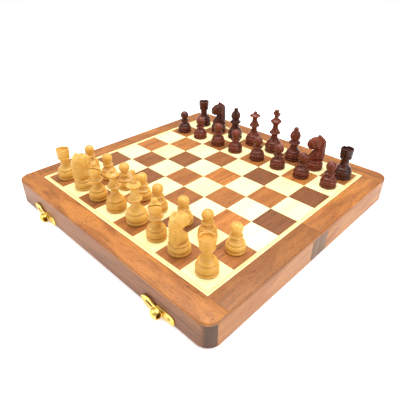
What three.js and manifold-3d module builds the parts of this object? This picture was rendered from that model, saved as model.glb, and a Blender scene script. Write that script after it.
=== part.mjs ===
// Folding wooden chess set: a hinged box whose two shells open flat into a board,
// held shut by two swing hooks, with thirty-two turned and carved men in their starting places.
//
// Millimetres, +Z up. The origin is on the fold line, midway along it, at the height the set
// stands on. +X runs along the files' letters, from a to h, and +Y from the white men to the
// black men. Both shells lie with their playing faces up and their rims down.

import * as THREE from 'three';
import { mergeVertices } from 'three/addons/utils/BufferGeometryUtils.js';
import Module from 'manifold-3d';

const wasm = await Module();
wasm.setup();

// ---- Driving dimensions ----------------------------------------------------------------

// Playing face
const SQUARE = 31;            // one square of the chequer
const RANKS = 8;
const INLAY_W = 4.2;          // inlaid line around the chequer
const FRAME_W = 21.8;         // top planks around the inlaid line

// Shells
const SHELL_H = 28;           // one shell, rim to playing face
const WALL_T = 10;            // end and side walls
const FOLD_WALL_T = 13;       // the walls that meet at the fold
const PLANK_T = 3;            // top planks and the veneered playing sheet
const BASE_T = 3;             // plywood under the playing sheet
const CORNER_R = 13;          // upright outer corners
const EDGE_R = 1.5;           // outer top and rim edges, eased by sanding
const FOLD_GAP = 0.3;         // between the shells at the fold, and between rims when shut
const GLUE_GAP = 0.1;         // in glued joints
const LINER_T = 1.5;          // felt-covered card in each shell
const DIVIDER_T = 5;          // rib that parts the two troughs
const DIVIDER_SET_BACK = 2;   // rib below the rims

// Hinges
const HINGE_X = 88;           // from the middle of the fold to each hinge
const HINGE_L = 30;
const LEAF_W = 9;
const LEAF_T = 1;
const BARREL_R = 1.25;
const PIN_R = 0.5;
const RUN_GAP = 0.3;          // between pieces that turn past each other
const RELIEF = 0.2;           // from a barrel's running gap to the chamfer beside it

// Latches
const LATCH_X = { left: -89, right: 96 };
const HOOK_REST = { left: 158, right: 172 };  // degrees from +X up to the leaf, set open
const PIVOT_UP = 5;           // rim to pivot, and rim to stud
const PLATE_UP = 0.2;         // rim to the plates' lower edges
const BRASS_T = 0.8;          // pressed plates
const HOOK_T = 1;
const HOOK_REACH = 20.5;      // pivot to the leaf's point
const LEAF_HALF = 5.8;        // half of the leaf's widest place
const SLOT_L = 5.2;           // slot in the leaf, between the middles of its round ends
const PIVOT_R = 1.2;
const RIVET_R = 1.9;
const RIVET_T = 0.8;
const WING_END = 18.5;        // pivot to the end of the plate's wing
const HOOD_PROUD = 8;         // how far the hood stands out from the wall
const HOOD = { wide: 5.6, high: 4.5, drop: 1.2, open: 3.8 };
const HOOD_T = 0.7;
const STUD_R = 1.25;
const STUD_PROUD = 3.6;
const KEEPER_HALF = 6;        // half the width of the keeper's plate

// Men: foot radius, height of the foot's mouldings and height of each kind
const MEN = {
  king: { foot: 10.5, rise: 12.8, height: 53.5 },
  queen: { foot: 10.2, rise: 12.6, height: 44.2 },
  bishop: { foot: 9.6, rise: 11.8, height: 41.2 },
  knight: { foot: 10.2, rise: 11, height: 41 },
  rook: { foot: 9.9, rise: 12.3, height: 34.9 },
  pawn: { foot: 9.1, rise: 10.6, height: 28.8 },
};
const STAND_GAP = 0.3;        // between a man and the board
const MAN_SIDES = 12;         // sides of a turned man

// ---- Worked-out places -----------------------------------------------------------------

const FIELD = RANKS * SQUARE / 2;             // half of the chequer
const SHEET = FIELD + INLAY_W;                // half of the playing sheet
const HALF = SHEET + FRAME_W;                 // half of the open board
const AXIS_Z = BARREL_R;                      // the hinge line
const RIM_Z = AXIS_Z + FOLD_GAP / 2;
const TOP_Z = RIM_Z + SHELL_H;
const WALL_TOP = TOP_Z - PLANK_T - GLUE_GAP;
const BASE_Z = TOP_Z - PLANK_T - BASE_T;
const WALL_IN = HALF - WALL_T;                // inner faces of end and side walls
const FOLD_OUT = FOLD_GAP / 2;
const FOLD_IN = FOLD_OUT + FOLD_WALL_T;
const PIVOT_Z = RIM_Z + PIVOT_UP;
const STUD_REACH = 2 * (PIVOT_Z - AXIS_Z);    // pivot to stud when the set is shut
const PLATE_Y = HALF + GLUE_GAP;              // back of the latch plates
const PLATE_HALF = PIVOT_UP - PLATE_UP;       // half the height of the latch plates
const HOOK_Y = PLATE_Y + BRASS_T + RUN_GAP;   // back of the hooks
const HOOK_FACE = HOOK_Y + HOOK_T;
const CHAMFER = (BARREL_R + RUN_GAP) * Math.SQRT2 + RELIEF;  // along the fold walls' lower edges

const COLOURS = {
  wall: [0x96694c, 0.5, 0], plank: [0xb8763f, 0.45, 0], panel: [0xd9bd86, 0.4, 0],
  felt: [0x35573a, 0.95, 0], brass: [0xe0b23c, 0.28, 1],
  white: [0xe0a452, 0.35, 0], black: [0x4e2a1f, 0.3, 0],
};

const board = new THREE.Group();

// ---- Making solids ---------------------------------------------------------------------

// A three.js geometry as a closed solid, with repeated points merged and empty triangles left out.
function solid(geometry) {
  const bare = geometry.clone();
  bare.deleteAttribute('normal');
  bare.deleteAttribute('uv');
  const merged = mergeVertices(bare, 1e-4);
  const index = merged.index.array;
  const triangles = [];
  for (let i = 0; i < index.length; i += 3) {
    const [a, b, c] = index.slice(i, i + 3);
    if (a !== b && b !== c && c !== a) triangles.push(a, b, c);
  }
  return new wasm.Manifold(new wasm.Mesh({
    numProp: 3,
    vertProperties: new Float32Array(merged.attributes.position.array),
    triVerts: new Uint32Array(triangles),
  }));
}

function geometryOf(shape) {
  const mesh = shape.getMesh();
  const geometry = new THREE.BufferGeometry();
  geometry.setAttribute('position', new THREE.BufferAttribute(mesh.vertProperties, 3));
  geometry.setIndex(new THREE.BufferAttribute(mesh.triVerts, 1));
  return geometry.toNonIndexed();
}

// Adds one named piece to the set.
function piece(name, shape, colour) {
  const [color, roughness, metalness] = COLOURS[colour];
  const geometry = geometryOf(shape);
  geometry.computeVertexNormals();
  const mesh = new THREE.Mesh(geometry, new THREE.MeshStandardMaterial({ color, roughness, metalness }));
  mesh.name = name;
  board.add(mesh);
  return mesh;
}

// A block between two corners, given in any order.
function block([x0, x1], [y0, y1], [z0, z1]) {
  const box = new THREE.BoxGeometry(Math.abs(x1 - x0), Math.abs(y1 - y0), Math.abs(z1 - z0));
  return solid(box.translate((x0 + x1) / 2, (y0 + y1) / 2, (z0 + z1) / 2));
}

function rod(axis, radius, [from, to], sides, at = [0, 0]) {
  const rodShape = new THREE.CylinderGeometry(radius, radius, Math.abs(to - from), sides);
  const middle = (from + to) / 2;
  if (axis === 'x') return solid(rodShape.rotateZ(Math.PI / 2).translate(middle, at[0], at[1]));
  return solid(rodShape.translate(at[0], middle, at[1]));
}

// An outline in X and Z, given a thickness along Y.
function plateXZ(outline, [y0, y1], curveSegments = 6) {
  const depth = Math.abs(y1 - y0);
  const flat = new THREE.ExtrudeGeometry(outline, { depth, bevelEnabled: false, curveSegments });
  return solid(flat.rotateX(Math.PI / 2).translate(0, Math.max(y0, y1), 0));
}

function roundedRect(x0, x1, y0, y1, r) {
  const outline = new THREE.Shape();
  outline.moveTo(x0 + r, y0);
  outline.lineTo(x1 - r, y0);
  outline.absarc(x1 - r, y0 + r, r, -Math.PI / 2, 0);
  outline.lineTo(x1, y1 - r);
  outline.absarc(x1 - r, y1 - r, r, 0, Math.PI / 2);
  outline.lineTo(x0 + r, y1);
  outline.absarc(x0 + r, y1 - r, r, Math.PI / 2, Math.PI);
  outline.lineTo(x0, y0 + r);
  outline.absarc(x0 + r, y0 + r, r, Math.PI, Math.PI * 1.5);
  return outline;
}

// ---- Shells ----------------------------------------------------------------------------

// The whole open board's outside: round upright corners, eased edges above and below.
function envelope() {
  const outline = roundedRect(-HALF, HALF, -HALF, HALF, CORNER_R);
  const bulk = new THREE.ExtrudeGeometry(outline, {
    depth: SHELL_H - 2 * EDGE_R, curveSegments: 6,
    bevelEnabled: true, bevelThickness: EDGE_R, bevelSize: EDGE_R, bevelOffset: -EDGE_R,
    bevelSegments: 2,
  });
  return solid(bulk.translate(0, 0, RIM_Z + EDGE_R));
}

// The wall at the fold, relieved along its lower edge and let in for the hinge leaves.
function foldWall(side, outside) {
  const wall = block([-HALF, HALF], [side * FOLD_OUT, side * FOLD_IN], [RIM_Z, WALL_TOP]);
  const prism = new THREE.CylinderGeometry(CHAMFER, CHAMFER, 4 * HALF, 4);
  const relief = solid(prism.rotateZ(Math.PI / 2).translate(0, 0, AXIS_Z));
  let shape = wall.intersect(outside).subtract(relief);
  for (const x of [-HINGE_X, HINGE_X]) {
    shape = shape.subtract(block(
      [x - HINGE_L / 2 - RUN_GAP, x + HINGE_L / 2 + RUN_GAP],
      [0, side * (BARREL_R + RUN_GAP + LEAF_W + RUN_GAP)],
      [0, RIM_Z + LEAF_T + RUN_GAP],
    ));
  }
  return shape;
}

// The veneered sheet on its wider plywood base, which fits between the walls.
function panel(side) {
  const sheetEdge = SHEET - GLUE_GAP;
  const baseEdge = WALL_IN - GLUE_GAP;
  const baseFold = side * (FOLD_IN + GLUE_GAP);
  const sheet = block([-sheetEdge, sheetEdge], [side * FOLD_OUT, side * sheetEdge], [TOP_Z - PLANK_T, TOP_Z]);
  const glue = block([-sheetEdge, sheetEdge], [baseFold, side * sheetEdge], [BASE_Z, TOP_Z - PLANK_T / 2]);
  const base = block([-baseEdge, baseEdge], [baseFold, side * baseEdge], [BASE_Z, WALL_TOP]);
  return sheet.add(glue).add(base);
}

// Felt-covered card on the base, with a rib that makes two long troughs.
function liner(side) {
  const edge = WALL_IN - GLUE_GAP;
  const fold = FOLD_IN + GLUE_GAP;
  const ceiling = BASE_Z - GLUE_GAP;
  const card = block([-edge, edge], [side * fold, side * edge], [ceiling - LINER_T, ceiling]);
  const middle = side * (fold + edge) / 2;
  const rib = block(
    [-edge, edge],
    [middle - DIVIDER_T / 2, middle + DIVIDER_T / 2],
    [RIM_Z + DIVIDER_SET_BACK, ceiling - LINER_T / 2],
  );
  return card.add(rib);
}

function shell(name, side) {
  const outside = envelope();
  const wallZ = [RIM_Z, WALL_TOP];
  const plankZ = [TOP_Z - PLANK_T, TOP_Z];
  const sideWallY = [side * (FOLD_IN + GLUE_GAP), side * (WALL_IN - GLUE_GAP)];
  const sidePlankY = [side * FOLD_OUT, side * (SHEET - GLUE_GAP)];
  const cut = (x, y, z) => block(x, y, z).intersect(outside);

  piece(`${name}_end_wall`, cut([-HALF, HALF], [side * WALL_IN, side * HALF], wallZ), 'wall');
  piece(`${name}_left_wall`, cut([-HALF, -WALL_IN], sideWallY, wallZ), 'wall');
  piece(`${name}_right_wall`, cut([WALL_IN, HALF], sideWallY, wallZ), 'wall');
  piece(`${name}_fold_wall`, foldWall(side, outside), 'wall');
  piece(`${name}_end_plank`, cut([-HALF, HALF], [side * SHEET, side * HALF], plankZ), 'plank');
  piece(`${name}_left_plank`, cut([-HALF, -SHEET], sidePlankY, plankZ), 'plank');
  piece(`${name}_right_plank`, cut([SHEET, HALF], sidePlankY, plankZ), 'plank');
  piece(`${name}_panel`, panel(side), 'panel');
  piece(`${name}_liner`, liner(side), 'felt');
}

// ---- Hinges ----------------------------------------------------------------------------

// One leaf with its knuckles around the hinge line; spans are along X from the hinge's middle.
function hingeLeaf(x, side, knuckles) {
  const clear = BARREL_R + RUN_GAP;
  const leafZ = [RIM_Z, RIM_Z + LEAF_T];
  let leaf = block([x - HINGE_L / 2, x + HINGE_L / 2], [side * clear, side * (clear + LEAF_W)], leafZ);
  for (const [from, to] of knuckles) {
    leaf = leaf
      .add(rod('x', BARREL_R, [x + from, x + to], 16, [0, AXIS_Z]))
      .add(block([x + from, x + to], [side * BARREL_R / 2, side * (clear + RUN_GAP)], leafZ));
  }
  return leaf;
}

function hinge(name, x) {
  const end = HINGE_L / 2;
  const third = HINGE_L / 6;
  const near = hingeLeaf(x, -1, [[-end, -third - RUN_GAP / 2], [third + RUN_GAP / 2, end]])
    .add(rod('x', PIN_R, [x - end, x + end], 12, [0, AXIS_Z]));
  const far = hingeLeaf(x, 1, [[-third + RUN_GAP / 2, third - RUN_GAP / 2]])
    .subtract(rod('x', PIN_R + RUN_GAP, [x - end, x + end], 12, [0, AXIS_Z]));
  piece(`${name}_hinge_near_leaf`, near, 'brass');
  piece(`${name}_hinge_far_leaf`, far, 'brass');
}

// ---- Latches ---------------------------------------------------------------------------

// Pressed plate with one wing, and the rivet that the hook turns on. Built at the pivot.
function latchPlate() {
  const plateY = [-PLATE_Y, -PLATE_Y - BRASS_T];
  const rivetTop = -HOOK_FACE - RUN_GAP;
  return plateXZ(roundedRect(0, WING_END, -PLATE_HALF, PLATE_HALF, PLATE_HALF / 2), plateY)
    .add(rod('y', PLATE_HALF, plateY, 16))
    .add(rod('y', PIVOT_R, [-PLATE_Y - BRASS_T / 2, rivetTop - RIVET_T / 2], 10))
    .add(rod('y', RIVET_R, [rivetTop, rivetTop - RIVET_T], 10));
}

// Leaf-shaped arm pointing along +X from the pivot, with a slot that snaps over the stud.
function hookArm() {
  const arm = new THREE.Shape();
  const neck = LEAF_HALF * 0.6;
  const widest = HOOK_REACH * 0.55;
  const shoulder = widest * 0.65;
  const taper = HOOK_REACH * 0.9;
  arm.moveTo(0, -neck);
  arm.bezierCurveTo(shoulder, -neck, shoulder, -LEAF_HALF, widest, -LEAF_HALF);
  arm.bezierCurveTo(widest * 1.3, -LEAF_HALF, taper, -neck, HOOK_REACH, 0);
  arm.bezierCurveTo(taper, neck, widest * 1.3, LEAF_HALF, widest, LEAF_HALF);
  arm.bezierCurveTo(shoulder, LEAF_HALF, shoulder, neck, 0, neck);
  const half = STUD_R + RUN_GAP;
  const [from, to] = [STUD_REACH - SLOT_L / 2 - half, STUD_REACH + SLOT_L / 2 + half];
  const slot = plateXZ(roundedRect(from, to, -half, half, half - 0.01), [-HOOK_Y + 1, -HOOK_FACE - 1], 3);
  return plateXZ(arm, [-HOOK_Y, -HOOK_FACE], 5).subtract(slot);
}

// Domed finger hood over the pivot, hollow, and open at its right end.
function hood() {
  const out = HALF + HOOD_PROUD - HOOK_FACE;
  const dome = (less) => solid(new THREE.SphereGeometry(1, 12, 8)
    .scale(HOOD.wide - less, out - less, HOOD.high - less)
    .translate(0, -HOOK_FACE, -HOOD.drop));
  const rightEnd = block([HOOD.open, HOOD.open + HOOK_REACH], [-HALF, -2 * HALF], [-HALF, HALF]);
  const behind = block([-HALF, HALF], [-HOOK_FACE + HOOK_T / 2, 0], [-HALF, HALF]);
  return dome(0).subtract(dome(HOOD_T)).subtract(rightEnd).subtract(behind);
}

function latchHook(restAngle) {
  const hookY = [-HOOK_Y, -HOOK_FACE];
  const [low, high] = [-HOOD.drop - HOOD.high, -HOOD.drop + HOOD.high];
  const eye = plateXZ(roundedRect(-HOOD.wide, HOOD.wide, low, high, HOOD.high - 0.01), hookY, 4);
  const pivotHole = rod('y', PIVOT_R + RUN_GAP, [-PLATE_Y, -HOOK_FACE - RUN_GAP], 10);
  return hookArm().rotate([0, -restAngle, 0]).add(eye).add(hood()).subtract(pivotHole);
}

// Small plate with a round-nosed stud, which the hook's slot takes when the set is shut.
function keeper() {
  const plateY = [PLATE_Y, PLATE_Y + BRASS_T];
  const noseY = HALF + STUD_PROUD - STUD_R;
  const outline = roundedRect(-KEEPER_HALF, KEEPER_HALF, -PLATE_HALF, PLATE_HALF, PLATE_HALF - 0.01);
  return plateXZ(outline, plateY, 4)
    .add(rod('y', STUD_R, [PLATE_Y + BRASS_T / 2, noseY], 10))
    .add(solid(new THREE.SphereGeometry(STUD_R, 10, 6).translate(0, noseY, 0)));
}

function latch(name) {
  const parts = {
    plate: latchPlate(), hook: latchHook(HOOK_REST[name]), keeper: keeper(),
  };
  for (const [part, shape] of Object.entries(parts)) {
    piece(`${name}_latch_${part}`, shape, 'brass').position.set(LATCH_X[name], 0, PIVOT_Z);
  }
}

// ---- Men -------------------------------------------------------------------------------

// Points of a ball's outline, from one angle above the level to another.
function arc(radius, z, from, to, steps) {
  const points = [];
  for (let i = 0; i <= steps; i += 1) {
    const angle = THREE.MathUtils.degToRad(from + (to - from) * i / steps);
    points.push([radius * Math.cos(angle), z + radius * Math.sin(angle)]);
  }
  return points;
}

// The moulded foot that every man stands on: rim, rounded base and bead.
function foot(r, rise) {
  return [[0, 0], [r - 0.6, 0], [r - 0.1, 0.8], [r, 4.2], [r - 1.6, rise - 1.7], [r - 2.2, rise]];
}

function turned(points) {
  const profile = points.map(([r, z]) => new THREE.Vector2(Math.max(r, 0), z));
  return solid(new THREE.LatheGeometry(profile, MAN_SIDES).rotateX(Math.PI / 2));
}

function pawn({ foot: r, rise, height }) {
  const ball = 5.6;
  return turned([...foot(r, rise), [4.5, 12.4], [3.7, 14.2], [5.6, 15.2], [5.6, 16.6],
    ...arc(ball, height - ball, -45, 90, 4)]);
}

function rook({ foot: r, rise, height }) {
  const cup = 3;
  return turned([...foot(r, rise), [5.3, 14], [4.6, 21.6], [6.4, 24], [7.1, 29],
    [7.1, height - 0.5], [6.7, height], [5.6, height], [5.2, height - cup],
    [0, height - cup - 0.1]]);
}

function bishop({ foot: r, rise, height }) {
  const mitre = 6.2;
  return turned([...foot(r, rise), [5.6, 13.4], [4.5, 18.6], [6.9, 21.4], [6.9, 22.6],
    [4.9, 24.4], ...arc(mitre, 31.4, -42, 62, 4), [3.2, 38.2], [3.3, 39.4], [2.1, 40.8],
    [0, height]]);
}

function queen({ foot: r, rise, height }) {
  const ball = 2.2;
  return turned([...foot(r, rise), [5.2, 15.4], [3.5, 22], [6.6, 25.2], [6.4, 27], [3.2, 34.8],
    [6.9, 38.2], [6.8, 39.3], [2.4, 40.8], ...arc(ball, height - ball, -20, 90, 3)]);
}

// Cross on top of the crown: an upright and two arms, facing along the ranks.
function cross(from, to) {
  const middle = from + (to - from) * 0.62;
  const upright = block([-2.5, 2.5], [-2.1, 2.1], [from, to]);
  return upright.add(block([-4.2, 4.2], [-2.1, 2.1], [middle - 1.9, middle + 1.9]));
}

function king({ foot: r, rise, height }) {
  const crown = 42.4;
  return turned([...foot(r, rise), [5.6, 15.2], [3.8, 21], [6.9, 24.4], [6.7, 26.2], [3.2, 34],
    [6.7, 38.8], [6.5, 40.4], [3.6, crown], [0, crown + 0.2]]).add(cross(crown - 1, height));
}

// Horse's head in outline, forward and up, carved from a thick blank that stands on a turned foot.
function knight({ foot: r, rise, height }) {
  const ear = height;
  const outline = new THREE.Shape([
    [6.8, 10.4], [8.5, 14], [2.4, 22.6], [1.8, 24], [3.4, 24.9], [9.4, 25.5], [11.4, 28.6],
    [11, 32], [8, 36], [3.6, 38], [0.6, 37.9], [-1.8, ear], [-5, 38.6], [-8.6, 35.4],
    [-10.3, 29], [-10.2, 18], [-9, 10.4],
  ].map(([forward, up]) => new THREE.Vector2(forward, up)));
  const blank = new THREE.ExtrudeGeometry(outline, {
    depth: 8.4, bevelEnabled: true, bevelThickness: 1.3, bevelSize: 0.8, bevelOffset: -0.8,
    bevelSegments: 1,
  });
  const head = solid(blank.translate(0, 0, -4.2).rotateX(Math.PI / 2).rotateZ(Math.PI / 2));
  return turned([...foot(r, rise), [0, rise + 0.1]]).add(head);
}

const SHAPES = { king, queen, bishop, knight, rook, pawn };
const FILES = 'abcdefgh';
const BACK_ROW = ['rook', 'knight', 'bishop', 'queen', 'king', 'bishop', 'knight', 'rook'];

// How far some men stand off the middle of their squares, and are turned in degrees, as a
// player's hand leaves them.
const NUDGES = {
  white_rook_a: [-0.6, -0.6], white_knight_b: [0.9, 0.9], white_queen: [-1.2, 1.4],
  white_king: [-1.1, 2.7], white_knight_g: [-2.3, 0.4], white_rook_h: [0.9, -0.6],
  white_pawn_b: [2, 2], white_pawn_c: [2.2, 2.2], white_pawn_d: [1.7, 1.7],
  white_pawn_e: [-1.2, -1.2], white_pawn_f: [1.2, 1.2], white_pawn_g: [1.2, 1.2],
  white_pawn_h: [0.3, 4.4],
  black_rook_a: [0.4, 3.9], black_knight_b: [0.8, 2, -15], black_bishop_c: [0.7, 0.7],
  black_queen: [0.5, 1.8], black_king: [1.2, 2.4], black_bishop_f: [1.1, -0.2],
  black_knight_g: [1.1, -2, -42], black_rook_h: [3.8, 1.2],
  black_pawn_a: [-1.9, -1.9], black_pawn_b: [-1.9, -1.9], black_pawn_c: [-0.5, -1.6],
  black_pawn_d: [-1.7, -1.7],
  black_pawn_e: [0.4, 0.4], black_pawn_g: [0.7, 0.7], black_pawn_h: [2.7, 2.6],
};

function place(name, kind, colour, file, rank, facing) {
  const [dx, dy, turn = 0] = NUDGES[name] ?? [0, 0];
  const man = piece(name, SHAPES[kind](MEN[kind]), colour);
  const middle = (RANKS - 1) / 2;
  man.position.set((file - middle) * SQUARE + dx, (rank - middle) * SQUARE + dy, TOP_Z + STAND_GAP);
  man.rotation.z = facing + THREE.MathUtils.degToRad(turn);
}

function army(colour, backRank, pawnRank, facing) {
  BACK_ROW.forEach((kind, file) => {
    const single = kind === 'king' || kind === 'queen';
    const name = single ? `${colour}_${kind}` : `${colour}_${kind}_${FILES[file]}`;
    place(name, kind, colour, file, backRank, facing);
    place(`${colour}_pawn_${FILES[file]}`, 'pawn', colour, file, pawnRank, facing);
  });
}

// ---- The set ---------------------------------------------------------------------------

shell('near', -1);
shell('far', 1);
hinge('left', -HINGE_X);
hinge('right', HINGE_X);
latch('left');
latch('right');
army('white', 0, 1, 0);
army('black', RANKS - 1, RANKS - 2, Math.PI);

export default board;
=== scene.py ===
"""Looks of the folding chess set: timber, veneer, brass, felt and thirty-two turned and carved men.

Lengths are in metres, but the men are drawn in millimetres and brought to size at the end.
"""
import math
import random

import bmesh
import bpy
import numpy as np
from mathutils import Matrix, Vector


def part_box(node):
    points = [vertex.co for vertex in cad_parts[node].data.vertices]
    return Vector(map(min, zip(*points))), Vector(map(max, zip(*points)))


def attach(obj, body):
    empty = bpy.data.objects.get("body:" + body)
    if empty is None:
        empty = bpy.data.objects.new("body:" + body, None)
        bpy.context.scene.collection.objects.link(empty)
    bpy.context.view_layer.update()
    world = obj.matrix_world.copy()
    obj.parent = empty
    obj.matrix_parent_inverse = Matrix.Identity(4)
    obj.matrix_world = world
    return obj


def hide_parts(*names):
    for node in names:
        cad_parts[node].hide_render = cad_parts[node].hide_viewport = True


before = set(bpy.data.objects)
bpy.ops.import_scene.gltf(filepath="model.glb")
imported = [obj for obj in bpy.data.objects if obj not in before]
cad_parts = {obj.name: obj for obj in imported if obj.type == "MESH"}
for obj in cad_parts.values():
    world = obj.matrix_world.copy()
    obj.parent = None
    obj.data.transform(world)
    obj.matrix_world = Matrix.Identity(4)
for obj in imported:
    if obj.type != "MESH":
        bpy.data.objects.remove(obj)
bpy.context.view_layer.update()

MM = 0.001

# ---- Places, read from the frame --------------------------------------------------------

BARREL_R = 1.25 * MM                             # hinge knuckles

TOP_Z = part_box("near_end_plank")[1].z            # playing face
RIM_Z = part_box("near_end_wall")[0].z             # rims
AXIS_Z = (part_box("left_hinge_near_leaf")[0].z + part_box("left_hinge_far_leaf")[0].z) / 2 + BARREL_R
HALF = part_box("near_end_plank")[1].x             # half of the open board
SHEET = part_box("near_right_plank")[0].x          # half of the inlaid playing sheet
FOLD_OUT = -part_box("near_right_plank")[1].y      # fold line to each shell

INLAY_W = 4.2 * MM
SQUARE = (SHEET - INLAY_W) / 4
VENEER_T = 0.6 * MM
CORNER_R = 13 * MM
EDGE_R = 1.5 * MM
BLOCK_EASE = 0.2 * MM                            # where two timbers meet
FOLD_CHAMFER = 2.4 * MM
SMOOTH_ANGLE = math.radians(32)

SIDES = {"near": -1, "far": 1}
ALONG_X = Matrix.Rotation(math.pi / 2, 4, "Y")      # where these turn what points up
TO_NEAR = Matrix.Rotation(math.pi / 2, 4, "X")
TO_FAR = Matrix.Rotation(-math.pi / 2, 4, "X")


# ---- Small tools ------------------------------------------------------------------------

def linear(code):
    """A colour written as RRGGBB, as the shaders take it."""
    channels = [int(code[i:i + 2], 16) / 255 for i in (0, 2, 4)]
    return [c / 12.92 if c <= 0.04045 else ((c + 0.055) / 1.055) ** 2.4 for c in channels] + [1.0]


def add_object(name, mesh):
    obj = bpy.data.objects.new(name, mesh)
    bpy.context.scene.collection.objects.link(obj)
    return obj


def make_mesh(name, verts, faces):
    mesh = bpy.data.meshes.new(name)
    mesh.from_pydata(verts, [], faces)
    mesh.validate()
    mesh.update()
    return mesh


def bake_modifiers(obj):
    """Replaces the object's mesh by what its modifiers make of it."""
    bpy.context.view_layer.update()
    shown = obj.evaluated_get(bpy.context.evaluated_depsgraph_get())
    mesh = bpy.data.meshes.new_from_object(shown)
    obj.modifiers.clear()
    obj.data = mesh
    return obj


def boolean(obj, cutter, operation):
    """Cuts or joins a solid with another one, which is used up."""
    step = obj.modifiers.new("boolean", "BOOLEAN")
    step.operation = operation
    step.solver = "EXACT"
    step.object = cutter
    bake_modifiers(obj)
    bpy.data.objects.remove(cutter)
    return obj


def smooth(obj, angle=SMOOTH_ANGLE):
    obj.data.shade_smooth()
    obj.data.set_sharp_from_angle(angle=angle)
    return obj


def move(obj, place, turned=Matrix.Identity(4)):
    """Turns an object about the origin, then moves it."""
    obj.data.transform(Matrix.Translation(place) @ turned)


def rework(mesh, *steps):
    """Runs bmesh steps on a mesh."""
    form = bmesh.new()
    form.from_mesh(mesh)
    for step in steps:
        step(form)
    form.to_mesh(mesh)
    form.free()


def weld(form):
    bmesh.ops.remove_doubles(form, verts=form.verts, dist=1e-6)


def block(name, lo, hi, bevel=0.0):
    """A box between two corners, its edges eased where a bevel is given."""
    lo, hi = Vector(lo), Vector(hi)
    mesh = bpy.data.meshes.new(name)
    form = bmesh.new()
    bmesh.ops.create_cube(form, size=1.0)
    spread = Matrix.Translation((lo + hi) / 2) @ Matrix.Diagonal((*(hi - lo), 1))
    bmesh.ops.transform(form, matrix=spread, verts=form.verts)
    if bevel:
        bmesh.ops.bevel(form, geom=form.edges, offset=bevel, segments=2, profile=0.6, affect="EDGES")
    form.to_mesh(mesh)
    form.free()
    return add_object(name, mesh)


def prism(name, outline, z0, z1):
    """An outline in X and Y between two heights."""
    count = len(outline)
    verts = [(x, y, z) for z in (z0, z1) for x, y in outline]
    faces = [list(range(count))[::-1], list(range(count, 2 * count))]
    faces += [(i, (i + 1) % count, (i + 1) % count + count, i + count) for i in range(count)]
    return add_object(name, make_mesh(name, verts, faces))


def cut_from(obj, along, seed, tone=None):
    """Says how the piece was cut from its plank.

    grain runs with the fibres from a place of the plank's own, tone is the plank's shade, and
    end tells how squarely the surface cuts across the fibres.
    """
    draw = random.Random(seed)
    mesh = obj.data
    count = len(mesh.vertices)
    places = np.empty(count * 3, np.float32)
    mesh.vertices.foreach_get("co", places)
    others = [i for i in range(3) if i != along]
    start = np.array([draw.uniform(0, 9) for _ in range(3)], np.float32)
    grain = places.reshape(-1, 3)[:, [along] + others] + start
    mesh.attributes.new("grain", "FLOAT_VECTOR", "POINT").data.foreach_set("vector", grain.ravel())
    shade = np.full(count, draw.uniform(0, 1) if tone is None else tone, np.float32)
    mesh.attributes.new("tone", "FLOAT", "POINT").data.foreach_set("value", shade)
    normals = np.empty(len(mesh.loops) * 3, np.float32)
    mesh.corner_normals.foreach_get("vector", normals)
    across = np.abs(normals.reshape(-1, 3)[:, along]).astype(np.float32)
    mesh.attributes.new("end", "FLOAT", "CORNER").data.foreach_set("value", across)
    return obj


def finish_piece(obj, material, body, replaces=()):
    """Gives a piece its material, its body and the CAD nodes that it stands for."""
    obj.data.materials.clear()
    obj.data.materials.append(material)
    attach(obj, body)
    if replaces:
        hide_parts(*replaces)
    return obj


# ---- Materials --------------------------------------------------------------------------

class Shader:
    """A Principled material, with short ways to add nodes to it."""

    def __init__(self, name, **sockets):
        self.material = bpy.data.materials.new(name)
        self.material.use_nodes = True
        self.nodes = self.material.node_tree.nodes
        self.links = self.material.node_tree.links
        self.surface = self.nodes["Principled BSDF"]
        for socket, value in sockets.items():
            title = socket.replace("_", " ").title().replace("Ior", "IOR")
            self.surface.inputs[title].default_value = value

    def add(self, kind, inputs=None, **settings):
        node = self.nodes.new("ShaderNode" + kind)
        for key, value in settings.items():
            setattr(node, key, value)
        for key, value in (inputs or {}).items():
            if isinstance(value, bpy.types.NodeSocket):
                self.links.new(value, node.inputs[key])
            else:
                node.inputs[key].default_value = value
        return node

    def attribute(self, name):
        return self.add("Attribute", attribute_name=name, attribute_type="GEOMETRY")

    def noise(self, place, stretch, detail, roughness, distortion=0.0):
        """Noise that repeats about as often per metre, along each axis, as stretch says."""
        spread = self.add("VectorMath", {0: place, 1: stretch}, operation="MULTIPLY")
        made = self.add("TexNoise", {"Vector": spread.outputs[0], "Scale": 1.0, "Detail": detail,
                                     "Roughness": roughness, "Distortion": distortion})
        return made.outputs["Fac"]

    def ramp(self, value, *stops):
        """A grey or coloured ramp: stops are (place, colour or number)."""
        node = self.add("ValToRGB", {"Fac": value})
        node.color_ramp.interpolation = "EASE"
        elements = node.color_ramp.elements
        while len(elements) < len(stops):
            elements.new(0.5)
        for element, (place, colour) in zip(elements, stops):
            element.position = place
            element.color = colour if not isinstance(colour, (int, float)) else (colour,) * 3 + (1.0,)
        return node.outputs["Color"]

    def mix(self, factor, a, b, blend="MIX"):
        node = self.add("Mix", data_type="RGBA", blend_type=blend, clamp_factor=True)
        for socket, value in ((node.inputs[0], factor), (node.inputs[6], a), (node.inputs[7], b)):
            if isinstance(value, bpy.types.NodeSocket):
                self.links.new(value, socket)
            else:
                socket.default_value = value
        return node.outputs[2]

    def math(self, operation, a, b):
        return self.add("Math", {0: a, 1: b}, operation=operation).outputs[0]

    def colour(self, socket):
        self.links.new(socket, self.surface.inputs["Base Color"])

    def roughness(self, value, low, high):
        spread = self.add("MapRange", {"Value": value, "To Min": low, "To Max": high})
        self.links.new(spread.outputs[0], self.surface.inputs["Roughness"])

    def bump(self, height, distance, strength):
        node = self.add("Bump", {"Height": height, "Distance": distance, "Strength": strength})
        self.links.new(node.outputs[0], self.surface.inputs["Normal"])


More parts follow.
